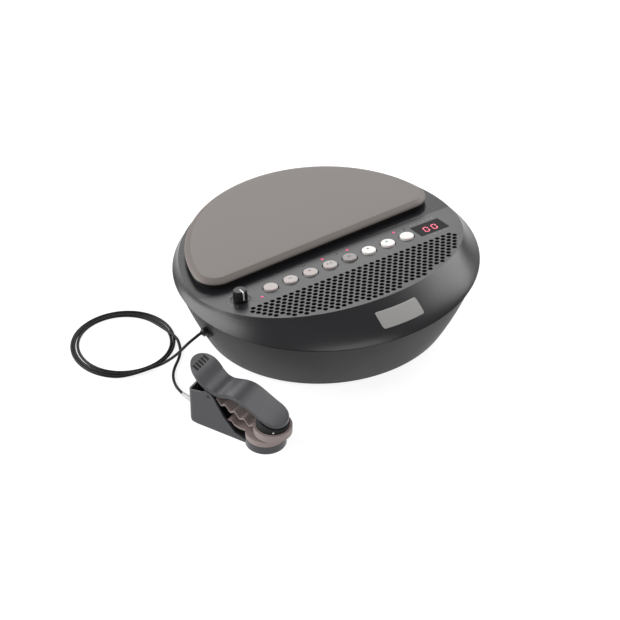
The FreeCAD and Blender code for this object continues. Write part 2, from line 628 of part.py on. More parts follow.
panel_tilt = FreeCAD.Rotation(V(1, 0, 0), -math.degrees(math.atan(slope)))
panel_frame = FreeCAD.Placement(V(0, hinge, deck), panel_tilt)
drill = Part.makeCompound(holes)
drill.Placement = panel_frame
panel_plate.Shape = panel_plate.Shape.cut(drill)
posted = join("panel_posted", panel_plate, on_panel(join("panel_standoffs", *post_set)))
node(cut("panel_cut", posted, tools), "control_panel")

# cloth behind the holes, held clear of the ledge
cloth = upper_loft(wall + ledge + 0.5).common(below_deck(0, panel_thick))
cloth = cloth.cut(below_deck(0, panel_thick + number("cloth_thick")))
cloth = cloth.common(front_of(hinge + (number("grille_row") + number("hole_radius") + 1.5) / tilt))
node(shaped("cloth_sheet", cloth), "grille_cloth")

node(on_panel(group("board_screw_set", *board_screws)), "board_screws")

# panel board with a notch-free outline, its switches and the lamps
board = box("panel_board", ("board_left", "board_front", board_top + " - board_thick"),
            ("board_right - board_left", "board_back - board_front", "board_thick"))
node(on_panel(cut("panel_board_drilled", board, join("board_holes", *board_holes))), "panel_circuit_board")
switches = []
for k, x in enumerate(button_places):
    case = box(f"switch_case_{k}", (x + " - switch_side / 2", "button_row - switch_side / 2", board_top),
               ("switch_side", "switch_side", "switch_tall"))
    plunger = cylinder(f"switch_plunger_{k}", "plunger_radius", "plunger_tall + 1",
                       (x, "button_row", board_top + " + switch_tall - 1"))
    switches.append(join(f"switch_{k}", case, plunger))
node(on_panel(group("switch_set", *switches)), "button_switches")


def lamp_group(name, places):
    lamps = []
    for k, (x, y) in enumerate(places):
        stem = cylinder(f"{name}_stem_{k}", "lamp_radius", "board_drop", (x, y, board_top))
        cap = doc.addObject("Part::Ellipsoid", f"{name}_cap_{k}")
        bind(cap, Radius1="lamp_stand", Radius2="lamp_radius", Radius3="lamp_radius")
        place(cap, x, y, "0")
        lamps.append(join(f"{name}_{k}", stem, cap))
    return on_panel(group(name, *lamps))


node(lamp_group("lit_lamps", lamps_lit), "indicator_lamps_lit")
node(lamp_group("unlit_lamps", lamps_unlit), "indicator_lamps_unlit")

# button caps, flanged below the panel, with a stem over each switch
flange_top = "-panel_thick - 0.3"
for k, x in enumerate(button_places):
    cap = turned(f"cap_{k}", [
        ("0", "-panel_thick - 1.4 - stem_length"), ("stem_radius", "-panel_thick - 1.4 - stem_length"),
        ("stem_radius", flange_top + " - 1.1"), ("cap_radius + cap_flange", flange_top + " - 1.1"),
        ("cap_radius + cap_flange", flange_top), ("cap_radius", flange_top),
        ("cap_radius", "cap_stand - 0.5"), ("cap_radius - 0.5", "cap_stand"), ("0", "cap_stand")])
    shell = place(group(f"cap_place_{k}", cap), x, "button_row", "0")
    node(on_panel(group(f"cap_on_panel_{k}", shell)), f"button_cap_{k + 1}")

# volume control: dial ring, potentiometer, shaft, fluted knob and its pointer
knob_at = ("knob_place", "knob_row")
ring = cylinder("dial_disc", "well_radius - 0.1", "dial_thick", (*knob_at, "-well_depth"))
ring_bore = cylinder("dial_bore", "bushing_radius + 0.15", "dial_thick + 2", (*knob_at, "-well_depth - 1"))
node(on_panel(cut("dial_ring", ring, ring_bore)), "knob_dial_ring")
pot = box("pot_case", ("knob_place - pot_width / 2", "knob_row - 7", board_top),
          ("pot_width", "14", "pot_tall"))
bushing = cylinder("pot_bushing", "bushing_radius", "board_drop - pot_tall - 0.5",
                   (*knob_at, board_top + " + pot_tall"))
pot_bore = cylinder("pot_bore", "shaft_radius + shaft_gap", "board_drop", (*knob_at, board_top + " + 2"))
node(on_panel(cut("pot_solid", join("pot_body", pot, bushing), pot_bore)), "volume_potentiometer")
shaft = cylinder("shaft_rod", "shaft_radius", "board_drop - 2.4 + knob_lift + knob_tall - 2",
                 (*knob_at, board_top + " + 2.4"))
node(on_panel(group("shaft_group", shaft)), "volume_shaft")
skirt_body = cylinder("knob_skirt", "knob_radius", "1.2", (*knob_at, "knob_lift"))
grip = cylinder("knob_grip", "knob_radius - 0.5", "knob_tall - 0.6", (*knob_at, "knob_lift"))
crown_edge = cylinder("knob_crown", "knob_radius - 1", "knob_tall", (*knob_at, "knob_lift"))
flutes = []
for k in range(int(number("flute_count"))):
    turn = 360 * k / int(number("flute_count"))
    x = f"knob_place + {math.cos(math.radians(turn)):.6f} * (knob_radius - 0.5)"
    y = f"knob_row + {math.sin(math.radians(turn)):.6f} * (knob_radius - 0.5)"
    flutes.append(cylinder(f"flute_{k}", "flute_radius", "knob_tall - 1.4", (x, y, "knob_lift")))
knob_bore = cylinder("knob_bore", "shaft_radius", "knob_tall - 2", (*knob_at, "knob_lift"))
slot = box("pointer_slot",
           ("knob_place - 0.6", "knob_row - knob_radius - 1", "knob_lift + knob_tall - 0.5"),
           ("1.2", "knob_radius + 1", "2"))
side_slot = box("pointer_side_slot", ("knob_place - 0.6", "knob_row - knob_radius - 1", "knob_lift + 1.6"),
                ("1.2", "1.4", "knob_tall"))
node(on_panel(cut("knob_solid", join("knob_body", skirt_body, grip, crown_edge, *flutes),
                  join("knob_cuts", knob_bore, slot, side_slot))), "volume_knob")
line_top = box("pointer_top",
               ("knob_place - 0.6", "knob_row - knob_radius + 0.4", "knob_lift + knob_tall - 0.5"),
               ("1.2", "knob_radius - 0.4", "0.6"))
line_side = box("pointer_side", ("knob_place - 0.6", "knob_row - knob_radius + 0.1", "knob_lift + 1.6"),
                ("1.2", "0.3", "knob_tall - 1.5"))
node(on_panel(join("pointer_solid", line_top, line_side)), "knob_pointer")

# display: module on the board, window in the panel, two digits on the window
window_low = "window_gap - window_thick"
window = box("window_plate",
             ("display_place - display_width / 2", "display_row - display_depth / 2", window_low),
             ("display_width", "display_depth", "window_thick"))
node(on_panel(group("window_group", window)), "display_window")
module = box("module_case", ("display_place - display_width / 2 + module_inset",
                             "display_row - display_depth / 2 + module_inset", board_top),
             ("display_width - 2 * module_inset", "display_depth - 2 * module_inset",
              "board_drop + window_gap - window_thick"))
node(on_panel(group("module_group", module)), "display_module")
digits = []
for k, step in enumerate((-1, 1)):
    middle = f"display_place + {step} * (digit_wide + digit_gap) / 2"
    low_x = middle + " - digit_wide / 2"
    for j, (x, y, wide, tall) in enumerate([
        (low_x, "digit_tall / 2 - digit_line", "digit_wide", "digit_line"),
        (low_x, "-digit_tall / 2", "digit_wide", "digit_line"),
        (low_x, "-digit_tall / 2 + digit_line + 0.3", "digit_line", "digit_tall / 2 - digit_line - 0.6"),
        (low_x, "0.3", "digit_line", "digit_tall / 2 - digit_line - 0.6"),
        (low_x + " + digit_wide - digit_line", "-digit_tall / 2 + digit_line + 0.3", "digit_line",
         "digit_tall / 2 - digit_line - 0.6"),
        (low_x + " + digit_wide - digit_line", "0.3", "digit_line", "digit_tall / 2 - digit_line - 0.6"),
    ]):
        digits.append(box(f"digit_{k}_{j}", (x, "display_row + " + y, "window_gap"),
                          (wide, tall, "digit_thick")))
node(on_panel(group("digit_set", *digits)), "display_digits")

# badge: a blank plate that follows the front wall
badge_form = upper_loft(-number("badge_proud")).cut(form)
badge_box = Part.makeBox(number("badge_width"), FAR, number("badge_tall"),
                         V(number("badge_place - badge_width / 2"), -FAR,
                           number("rim_height + badge_lift")))
corners = [e for e in badge_box.Edges if abs(e.BoundBox.YLength - FAR) < 0.01]
badge_box = badge_box.makeFillet(number("badge_corner"), corners)
node(shaped("badge_plate", badge_form.common(badge_box)), "blank_badge")

# ------------------------------------------------------------------ sensor lead
plug_face = left_face + " - boss_stand"
plug_end = plug_face + " - 4"
shell = cylinder("plug_shell", "3.9", "4", (plug_end, *sensor_axis), ALONG_X)
tip = cylinder("plug_tip", "jack_bore - 0.1", "20", (plug_end + " + 1", *sensor_axis), ALONG_X)
relief = doc.addObject("Part::Cone", "plug_sleeve")
bind(relief, Radius1="lead_diameter / 2 + 0.5", Radius2="3", Height="2")
place(relief, plug_end + " - 2", *sensor_axis, turn=ALONG_X)
node(join("plug_solid", shell, tip, relief), "sensor_plug")

half_lead = number("lead_diameter / 2")
lead_start = (number(plug_end + " - 2"), number("sensor_row"), number("sensor_height"))
near_route = [lead_start, (-149, -14.4, 36.4), (-154.6, -10.2, 27.5), (-158.8, -4.8, 18.5),
              (-163.3, 1.8, 10), (-170.4, 6.2, 4.8)]
clip_turn = math.radians(number("clip_turn"))
relief_turn = math.radians(number("relief_turn"))
relief_base = 0.7
relief_tip = V(-relief_base - number("relief_length") * math.cos(relief_turn),
               number("relief_length") * math.sin(relief_turn), 0)
lead_end = (number(clip_place) + relief_tip.x * math.cos(clip_turn) - relief_tip.y * math.sin(clip_turn),
            number("clip_row") + relief_tip.x * math.sin(clip_turn) + relief_tip.y * math.cos(clip_turn),
            number("relief_level"))
far_route = [(-137, 34, 4.2), (-138.8, 25.3, 2.6), (-142.5, 16.6, 1.5), (-149.6, 7.9, 1.4),
             (-157.8, 0.2, 1.5), (-164.6, -8.6, 1.6), (-169.5, -20.2, 3), (-173.5, -34.6, 7.6), lead_end]


def lead_tube(name, route):
    """A round lead along straight runs joined by tangent arcs."""
    points = [V(*p) for p in route]
    edges = []
    radii = []
    start = points[0]
    for k in range(1, len(points) - 1):
        back = points[k - 1] - points[k]
        ahead = points[k + 1] - points[k]
        turn = math.pi - back.getAngle(ahead)
        share = 0.45 * min(back.Length, ahead.Length)
        radius = share / math.tan(turn / 2)
        radii.append(round(radius, 1))
        back.normalize()
        ahead.normalize()
        enter = points[k] + back * share
        leave = points[k] + ahead * share
        middle = points[k] + (back + ahead).normalize() * radius * (1 / math.cos(turn / 2) - 1)
        edges.append(Part.LineSegment(start, enter).toShape())
        edges.append(Part.Arc(enter, middle, leave).toShape())
        start = leave
    edges.append(Part.LineSegment(start, points[-1]).toShape())
    path = Part.Wire(edges)
    ring = Part.Wire([Part.Circle(points[0], points[1] - points[0], half_lead).toShape()])
    tube = path.makePipeShell([ring], True, True)
    expected = math.pi * half_lead ** 2 * path.Length
    print(name, "radii", radii, "length", round(path.Length, 1), "volume share",
          round(tube.Volume / expected, 4))
    return shaped(name + "_sweep", tube)


node(lead_tube("near_lead", near_route), "sensor_lead_near")
node(lead_tube("far_lead", far_route), "sensor_lead_far")
coil_place = "-(body_width / 2 + coil_away)"
coil_disc = cylinder("coil_disc", "coil_outer", "coil_tall", (coil_place, "coil_row", "0.05"))
coil_gap = cylinder("coil_gap", "coil_inner", "coil_tall + 2", (coil_place, "coil_row", "-1"))
node(cut("coil_ring", coil_disc, coil_gap), "sensor_lead_coil")

# ------------------------------------------------------------------ sensor clip
# Built with X along the clip from its rear end, Y across it and Z up.
ACROSS = FreeCAD.Rotation(V(1, 0, 0), -90)
half_clip = number("clip_width") / 2
clip_wall = number("clip_wall")
side = padded("clip_channel", "XZ_Plane", [
    ("0", "4"), ("3", "1"), ("8", "0"), ("foot_along - 8", "0"), ("foot_along - 8", "3"),
    ("foot_along - 14", "3.2"), ("pivot_along + 26", "6.5"), ("pivot_along + 14", "20"),
    ("pivot_along + 6", "pivot_height"), ("pivot_along + 3", "pivot_height + 4"),
    ("pivot_along - 1", "pivot_height + 5"), ("pivot_along - 7", "pivot_height + 2"),
    ("0", "pivot_height")],
    "clip_width", midplane=True)
room = box("clip_room", ("clip_wall", "clip_wall - clip_width / 2", "2.6"),
           ("foot_along + 40", "clip_width - 2 * clip_wall", "90"))
foot = cylinder("clip_foot", "foot_disc", "foot_disc_tall", ("foot_along", "0", "0"))
pin_hole = cylinder("clip_pin_hole", "pivot_radius", "clip_width + 4",
                    ("pivot_along", "-clip_width / 2 - 2", "pivot_height"), ACROSS)
exit_hole = cylinder("clip_exit_hole", "lead_diameter / 2", "clip_wall + 4",
                     ("-2", "0", "relief_level"), ALONG_X)
corner_row = "clip_width / 2 - clip_corner"
plan = join("clip_plan",
            box("plan_long", ("clip_corner", "-clip_width / 2", "-1"), ("foot_along", "clip_width", "90")),
            box("plan_slim", ("0", f"-({corner_row})", "-1"),
                ("foot_along", f"2 * ({corner_row})", "90")),
            cylinder("plan_corner_near", "clip_corner", "90", ("clip_corner", f"-({corner_row})", "-1")),
            cylinder("plan_corner_far", "clip_corner", "90", ("clip_corner", corner_row, "-1")))
channel = join("clip_body", cut("clip_open", meet("clip_rounded", side, plan), room), foot)
node(in_clip(cut("clip_base_solid", channel, join("clip_bores", pin_hole, exit_hole))), "clip_base")
node(in_clip(group("pin_group", cylinder("pivot_pin", "pivot_radius", "clip_width + 0.6",
                                         ("pivot_along", "-clip_width / 2 - 0.3", "pivot_height"), ACROSS))),
     "clip_pivot_pin")
sleeve = doc.addObject("Part::Cone", "clip_sleeve")
bind(sleeve, Radius1="2.6", Radius2="lead_diameter / 2 + 0.4", Height="relief_length")
place(sleeve, f"-{relief_base}", "0", "relief_level",
      turn=FreeCAD.Rotation(UP, 180 - number("relief_turn")).multiply(ALONG_X))
node(in_clip(group("sleeve_group", sleeve)), "clip_strain_relief")


def curve(points):
    spline = Part.BSplineCurve()
    spline.interpolate([V(x, 0, z) for x, z in points])
    return spline.toShape()


lever_top = [(-1.5, 62), (3, 60), (8, 57.4), (14, 53), (20, 47.8), (26, 44.4), (32, 43.6), (39, 45.4),
             (47, 46.6), (56, 44.8), (66, 39.8), (77, 34.2), (91.5, 29.6)]
thick = number("lever_thick")


def s_plate(top_drop, bottom_drop, half):
    """A strip that follows the lever's S, between two depths below its top face."""
    upper = [V(x, 0, z - top_drop) for x, z in lever_top]
    lower = [V(x, 0, z - bottom_drop) for x, z in lever_top]
    first = curve([(p.x, p.z) for p in upper])
    second = curve([(p.x, p.z) for p in lower])
    ends = [Part.LineSegment(upper[k], lower[k]).toShape() for k in (0, -1)]
    face = Part.Face(Part.Wire(Part.__sortEdges__([first, second, *ends])))
    face.translate(V(0, -half, 0))
    return face.extrude(V(0, 2 * half, 0))


rear = number("lever_rear")
rear_x = rear - 0.5
nose = number("lever_nose")
nose_x = number("foot_along + nose_forward")


def lever_plan(inset):
    """The lever seen from above, pulled in by inset: round rear end, waist and round nose."""
    rear_end = Part.makeCylinder(rear - inset, 120, V(rear_x, 0, -10))
    front_end = Part.makeCylinder(nose - inset, 120, V(nose_x, 0, -10))
    waist = [(rear_x, rear), (rear_x + 12, half_clip + 1.8), (40, half_clip + 1.2),
             (54, half_clip + 2.4), (nose_x, nose)]
    points = [V(x, y - inset, -10) for x, y in waist]
    points += [V(p.x, -p.y, -10) for p in reversed(points)]
    middle = Part.Face(Part.makePolygon(points + points[:1])).extrude(V(0, 0, 120))
    return rear_end.fuse([front_end, middle])


plate = s_plate(0, thick, 30).common(lever_plan(0))
rim_drop = thick + 1.8
rim_strip = s_plate(thick - 0.5, rim_drop, 30).common(lever_plan(0.8).cut(lever_plan(2.6)))
pivot_x = number("pivot_along")
pivot_z = number("pivot_height")
ears = []
for y in (-half_clip + clip_wall + 0.4, half_clip - clip_wall - 0.4 - 2):
    ear = Part.makeCylinder(4.6, 2, V(pivot_x, y, pivot_z), V(0, 1, 0))
    web = Part.makeBox(9.2, 2, 16, V(pivot_x - 4.6, y, pivot_z))
    under = s_plate(thick - 0.5, 60, 30)
    ears.append(ear.fuse(web).common(under))
lever = plate.fuse([rim_strip, *ears])
pivot_bore = Part.makeCylinder(number("pivot_radius + pivot_gap"), 60, V(pivot_x, -30, pivot_z), V(0, 1, 0))
lever = lever.cut(pivot_bore)
node(in_clip(group("lever_group", shaped("lever_solid", lever.removeSplitter()))), "clip_lever")

# jaws: a black sensor housing under the nose, a rubber ring on it, and the lower rubber on the foot
jaw_low = number("jaw_low")
jaw_top = jaw_low + number("jaw_tall")
liner_half = half_clip - clip_wall - 0.6
hang = s_plate(rim_drop, 60, 30)
neck = Part.makeCylinder(nose - 2.8, 60, V(nose_x, 0, jaw_top)).common(s_plate(thick, 60, 30))
housing = Part.makeCylinder(nose + 0.5, 60, V(nose_x, 0, jaw_top)).common(hang).fuse(neck)
node(in_clip(group("housing_group", shaped("housing_disc", housing))), "clip_sensor_disc")


def rubber_strip(line, strip_thick):
    """A strip across the clip that follows a line of points, given along the clip and up."""
    points = [V(x, -liner_half, z) for x, z in line]
    points += [V(x, -liner_half, z - strip_thick) for x, z in reversed(line)]
    return Part.Face(Part.makePolygon(points + points[:1])).extrude(V(0, 2 * liner_half, 0))


waves = 4
wave_steps = 8
wave = []
for k in range(waves * wave_steps + 1):
    along = k / (waves * wave_steps)
    swell = 1.7 * math.cos(2 * math.pi * k / wave_steps)
    wave.append((27 + 36 * along, 32.6 - 14 * along + swell))
upper_jaw = Part.makeCylinder(number("jaw_radius"), jaw_top - jaw_low, V(nose_x, 0, jaw_low))
tongue = rubber_strip(wave, 1.6)
node(in_clip(group("upper_jaw_group", shaped("upper_jaw", upper_jaw.fuse(tongue)))), "clip_upper_liner")
foot_top = number("foot_disc_tall")
lower_jaw = Part.makeCylinder(number("foot_disc") - 0.3, number("liner_tall"),
                              V(number("foot_along"), 0, foot_top))
heel = rubber_strip([(36, 13), (38.5, 16.6), (41.5, 16.8), (44, 13.4), (49, 12), (56, 12.2)], 1.8)
node(in_clip(group("lower_jaw_group", shaped("lower_jaw", lower_jaw.fuse(heel)))), "clip_lower_liner")

# torsion spring round the pin, with one leg on the channel's floor and one towards the lever
spring_wire = 0.8
spring_outer = 4.2
spring_half = half_clip - clip_wall - 3.7
leg_row = spring_half - spring_wire - 0.1
coil_spring = Part.makeCylinder(spring_outer, 2 * spring_half, V(pivot_x, -spring_half, pivot_z),
                                V(0, 1, 0))
coil_spring = coil_spring.cut(Part.makeCylinder(spring_outer - 2 * spring_wire, 2 * spring_half + 1,
                                                V(pivot_x, -spring_half - 0.5, pivot_z), V(0, 1, 0)))
leg = Part.makeCylinder(spring_wire, 9, V(pivot_x - 0.5, -leg_row, pivot_z + 3.4), V(-1, 0, 0.25))
stay = Part.makeCylinder(spring_wire, 17.5, V(pivot_x - 2.5, leg_row, pivot_z - 2.4),
                         V(-0.9, 0, -0.75))
spring = coil_spring.fuse([leg, stay])
node(in_clip(group("spring_group", shaped("spring_wire", spring))), "clip_spring")

# ------------------------------------------------------------------ export
doc.recompute()
bad = [o.Label for o in doc.Objects if "Invalid" in o.State or "Error" in o.State]
for obj in nodes:
    if obj.Shape.isNull() or not obj.Shape.isValid():
        bad.append(obj.Label)
if bad:
    raise SystemExit("failed pieces: " + ", ".join(bad))
for obj in nodes:
    obj.Shape.exportStep(f"parts/{obj.Label}.step")
print(len(nodes), "nodes written")
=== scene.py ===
# Tabletop percussion pad with a clip sensor on a coiled lead.
import math
import bpy
import bmesh
from mathutils import Matrix, Vector


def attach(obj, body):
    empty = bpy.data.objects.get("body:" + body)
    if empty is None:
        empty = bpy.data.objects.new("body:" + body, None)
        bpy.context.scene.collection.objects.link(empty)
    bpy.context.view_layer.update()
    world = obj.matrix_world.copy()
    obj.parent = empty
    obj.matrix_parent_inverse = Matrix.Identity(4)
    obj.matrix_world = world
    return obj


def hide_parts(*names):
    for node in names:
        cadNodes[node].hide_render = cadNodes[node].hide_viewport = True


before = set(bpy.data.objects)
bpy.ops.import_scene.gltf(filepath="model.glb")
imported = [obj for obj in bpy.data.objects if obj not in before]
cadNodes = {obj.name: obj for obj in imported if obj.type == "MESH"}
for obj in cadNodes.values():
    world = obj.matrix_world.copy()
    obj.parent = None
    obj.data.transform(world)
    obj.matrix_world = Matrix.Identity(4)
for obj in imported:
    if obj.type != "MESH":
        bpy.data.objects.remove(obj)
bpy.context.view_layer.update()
mm = 0.001
print("frame loaded,", len(cadNodes), "nodes")

# camera: the view that the part is shown from
cameraView = {
    "place": (-0.7777, -1.1980, 1.0924),
    "azimuth": -32.397,
    "elevation": 37.409,
    "lens": 114.67,
    "film": 36,
}


def placeCamera(view):
    lens = bpy.data.cameras.new("studioCamera")
    lens.lens = view["lens"]
    lens.sensor_width = view["film"]
    lens.clip_start = 0.05
    lens.clip_end = 30
    camera = bpy.data.objects.new("studioCamera", lens)
    camera.location = view["place"]
    camera.rotation_euler = (math.radians(90 - view["elevation"]), 0, math.radians(view["azimuth"]))
    bpy.context.scene.collection.objects.link(camera)
    bpy.context.scene.camera = camera


placeCamera(cameraView)


def addMesh(name, verts, faces, smooth=True):
    mesh = bpy.data.meshes.new(name)
    mesh.from_pydata([tuple(v) for v in verts], [], faces)
    mesh.validate()
    faced = bmesh.new()
    faced.from_mesh(mesh)
    bmesh.ops.recalc_face_normals(faced, faces=faced.faces)
    faced.to_mesh(mesh)
    faced.free()
    for face in mesh.polygons:
        face.use_smooth = smooth
    piece = bpy.data.objects.new(name, mesh)
    bpy.context.scene.collection.objects.link(piece)
    return piece


# finishes: every size of grain is in millimetres
def newFinish(name, look):
    material = bpy.data.materials.new(name)
    material.use_nodes = True
    tree = material.node_tree
    shader = tree.nodes["Principled BSDF"]
    place = tree.nodes.new("ShaderNodeTexCoord")
    patch = tree.nodes.new("ShaderNodeTexNoise")
    patch.inputs["Scale"].default_value = 1 / (look.get("patch", 30) * mm)
    patch.inputs["Detail"].default_value = 4
    tree.links.new(place.outputs["Object"], patch.inputs["Vector"])
    tint = tree.nodes.new("ShaderNodeMix")
    tint.data_type = "RGBA"
    base = look["colour"]
    swing = look.get("swing", 0.12)
    tint.inputs[6].default_value = (*[c * (1 - swing) for c in base], 1)
    tint.inputs[7].default_value = (*[min(c * (1 + swing), 1) for c in base], 1)
    tree.links.new(patch.outputs["Fac"], tint.inputs["Factor"])
    tree.links.new(tint.outputs[2], shader.inputs["Base Color"])
    rough = look.get("rough", 0.5)
    wear = tree.nodes.new("ShaderNodeMapRange")
    wear.inputs["From Min"].default_value = 0.3
    wear.inputs["From Max"].default_value = 0.7
    roughSwing = look.get("roughSwing", 0.04)
    wear.inputs["To Min"].default_value = rough - roughSwing
    wear.inputs["To Max"].default_value = rough + roughSwing
    tree.links.new(patch.outputs["Fac"], wear.inputs["Value"])
    tree.links.new(wear.outputs["Result"], shader.inputs["Roughness"])
    grain = tree.nodes.new("ShaderNodeTexNoise")
    grain.inputs["Scale"].default_value = 1 / (look.get("grain", 0.5) * mm)
    grain.inputs["Detail"].default_value = 3
    tree.links.new(place.outputs["Object"], grain.inputs["Vector"])
    bump = tree.nodes.new("ShaderNodeBump")
    bump.inputs["Strength"].default_value = look.get("bump", 0.25)
    bump.inputs["Distance"].default_value = look.get("relief", 0.03) * mm
    tree.links.new(grain.outputs["Fac"], bump.inputs["Height"])
    tree.links.new(bump.outputs["Normal"], shader.inputs["Normal"])
    for socket, value in look.get("shader", {}).items():
        shader.inputs[socket].default_value = value
    return material


capSkin = {"rough": 0.42, "swing": 0.05, "patch": 6, "grain": 0.3, "bump": 0.15,
           "shader": {"Subsurface Weight": 0.2, "Subsurface Scale": 0.002}}
finishes = {
    "padRubber": {"colour": (0.188, 0.171, 0.160), "rough": 0.6, "swing": 0.05, "patch": 60, "grain": 0.35,
                  "bump": 0.3, "relief": 0.03},
    # darker copy of the pad rubber for the bevel band: painted shade
    "padRimShade": {"colour": (0.150, 0.129, 0.118), "rough": 0.5, "swing": 0.06, "patch": 30, "grain": 0.35,
               "bump": 0.25, "relief": 0.03},
    "shellPlastic": {"colour": (0.011, 0.011, 0.013), "rough": 0.3, "swing": 0.06, "patch": 80,
                     "roughSwing": 0.02, "grain": 0.4, "bump": 0.1, "relief": 0.012},
    "lowerShell": {"colour": (0.012, 0.012, 0.013), "rough": 0.5, "swing": 0.08, "patch": 60, "grain": 0.45,
                   "bump": 0.3, "relief": 0.03, "shader": {"Specular IOR Level": 0.3}},
    # black rubber parts; also laid on the pad's side wall as painted shadow
    "blackRubberAndShadow": {"colour": (0.010, 0.010, 0.011), "rough": 0.65, "grain": 0.6, "bump": 0.3,
                    "shader": {"Specular IOR Level": 0.25}},
    "blackPlastic": {"colour": (0.009, 0.009, 0.010), "rough": 0.38, "grain": 0.5, "bump": 0.15,
                     "shader": {"Specular IOR Level": 0.4}},
    "capPink": {**capSkin, "colour": (0.42, 0.38, 0.37)},
    "capGrey": {**capSkin, "colour": (0.26, 0.242, 0.235)},
    "capWhite": {**capSkin, "colour": (0.76, 0.74, 0.72), "swing": 0.03},
    "lampLit": {"colour": (0.7, 0.05, 0.16), "rough": 0.2, "swing": 0.05, "patch": 3, "bump": 0.05,
                "shader": {"Emission Color": (0.8, 0.08, 0.24, 1), "Emission Strength": 0.4}},
    "lampDark": {"colour": (0.06, 0.05, 0.055), "rough": 0.2, "swing": 0.05, "patch": 3, "bump": 0.05},
    "digitGlow": {"colour": (0.5, 0.06, 0.12), "rough": 0.3, "swing": 0.04, "patch": 3, "bump": 0.05,
                  "shader": {"Emission Color": (0.9, 0.07, 0.16, 1), "Emission Strength": 0.6}},
    "windowBlack": {"colour": (0.004, 0.003, 0.004), "rough": 0.3, "swing": 0.05, "patch": 20, "bump": 0.03,
                    "shader": {"Specular IOR Level": 0.06}},
    "acousticCloth": {"colour": (0.004, 0.004, 0.004), "rough": 0.9, "swing": 0.2, "patch": 1.2, "grain": 0.5,
                      "bump": 0.6, "relief": 0.15, "shader": {"Specular IOR Level": 0.1}},
    "badgePlate": {"colour": (0.30, 0.295, 0.285), "rough": 0.42, "swing": 0.04, "patch": 20, "bump": 0.1},
    "whitePaint": {"colour": (0.70, 0.70, 0.69), "rough": 0.45, "swing": 0.03, "patch": 10, "bump": 0.1},
    "greyPrint": {"colour": (0.20, 0.20, 0.21), "rough": 0.5, "swing": 0.06, "patch": 4, "bump": 0.1},
    "darkPrint": {"colour": (0.05, 0.047, 0.05), "rough": 0.5, "swing": 0.06, "patch": 4, "bump": 0.1},
    "clipPlastic": {"colour": (0.036, 0.036, 0.041), "rough": 0.34, "swing": 0.06, "patch": 30, "grain": 0.4,
                    "bump": 0.25, "relief": 0.02},
    "linerRubber": {"colour": (0.25, 0.20, 0.19), "rough": 0.5, "swing": 0.06, "patch": 12, "grain": 0.4,
                    "bump": 0.3},
    "leadSheath": {"colour": (0.004, 0.004, 0.005), "rough": 0.42, "swing": 0.2, "patch": 14, "grain": 0.6,
                   "bump": 0.12, "shader": {"Specular IOR Level": 0.25}},
    "paleSleeve": {"colour": (0.66, 0.66, 0.67), "rough": 0.35, "swing": 0.04, "patch": 6, "bump": 0.1,
                   "shader": {"Transmission Weight": 0.3}},
    "bareSteel": {"colour": (0.5, 0.5, 0.51), "rough": 0.28, "swing": 0.06, "patch": 12, "bump": 0.1,
                  "shader": {"Metallic": 1.0}},
    "blackSteel": {"colour": (0.03, 0.03, 0.032), "rough": 0.4, "swing": 0.1, "patch": 12, "bump": 0.2,
                   "shader": {"Metallic": 0.4}},
    "brassDisc": {"colour": (0.72, 0.55, 0.26), "rough": 0.35, "swing": 0.06, "patch": 10, "bump": 0.1,
                  "shader": {"Metallic": 1.0}},
    "boardGreen": {"colour": (0.02, 0.12, 0.05), "rough": 0.4, "swing": 0.1, "patch": 8, "bump": 0.2},
    "amberFilm": {"colour": (0.36, 0.21, 0.07), "rough": 0.3, "swing": 0.08, "patch": 10, "bump": 0.1},
    "cellSleeve": {"colour": (0.10, 0.11, 0.33), "rough": 0.35, "swing": 0.06, "patch": 20, "bump": 0.1},
    "greyFoam": {"colour": (0.08, 0.08, 0.085), "rough": 0.9, "swing": 0.2, "patch": 1, "grain": 0.8,
                 "bump": 0.8, "relief": 0.2},
    "paperCone": {"colour": (0.03, 0.03, 0.032), "rough": 0.85, "swing": 0.15, "patch": 2, "bump": 0.5},
    "darkFerrite": {"colour": (0.05, 0.05, 0.053), "rough": 0.6, "swing": 0.1, "patch": 6, "bump": 0.3},
}
made = {name: newFinish(name, look) for name, look in finishes.items()}

nodeFinishes = {
    "padRubber": ["percussion_pad"],
    "shellPlastic": ["upper_shell", "control_panel"],
    "lowerShell": ["lower_shell", "battery_cover"],
    "blackRubberAndShadow": ["pad_seat", "rubber_feet", "speaker_surround", "clip_sensor_disc"],
    "blackPlastic": ["sensor_jack", "output_jack", "small_jacks", "dc_inlet", "button_switches",
                     "knob_dial_ring", "volume_shaft", "volume_knob", "display_module", "sensor_plug"],
    "capPink": ["button_cap_1", "button_cap_2", "button_cap_3", "button_cap_4"],
    "capGrey": ["button_cap_5"],
    "capWhite": ["button_cap_6", "button_cap_7", "button_cap_8"],
    "lampLit": ["indicator_lamps_lit"],
    "lampDark": ["indicator_lamps_unlit"],
    "digitGlow": ["display_digits"],
    "windowBlack": ["display_window"],
    "acousticCloth": ["grille_cloth"],
    "badgePlate": ["blank_badge"],
    "whitePaint": ["knob_pointer"],
    "clipPlastic": ["clip_base", "clip_lever"],
    "linerRubber": ["clip_upper_liner", "clip_lower_liner"],
    "leadSheath": ["sensor_lead_near", "sensor_lead_far", "sensor_lead_coil"],
    "paleSleeve": ["clip_strain_relief"],
    "bareSteel": ["clip_spring", "pad_backing_plate", "battery_contacts", "volume_potentiometer"],
    "blackSteel": ["case_screws", "speaker_screws", "board_screws", "speaker_frame", "clip_pivot_pin"],
    "brassDisc": ["head_piezo_sensor"],
    "boardGreen": ["main_circuit_board", "panel_circuit_board"],
    "amberFilm": ["pressure_sensor_film"],
    "cellSleeve": ["battery_cells"],
    "greyFoam": ["pad_foam_cushion"],
    "paperCone": ["speaker_cone", "speaker_dust_cap"],
    "darkFerrite": ["speaker_magnet"],
}
for name, members in nodeFinishes.items():
    for member in members:
        for holder in cadNodes[member].material_slots:
            holder.material = made[name]
print("finishes set on", sum(len(m) for m in nodeFinishes.values()), "nodes")

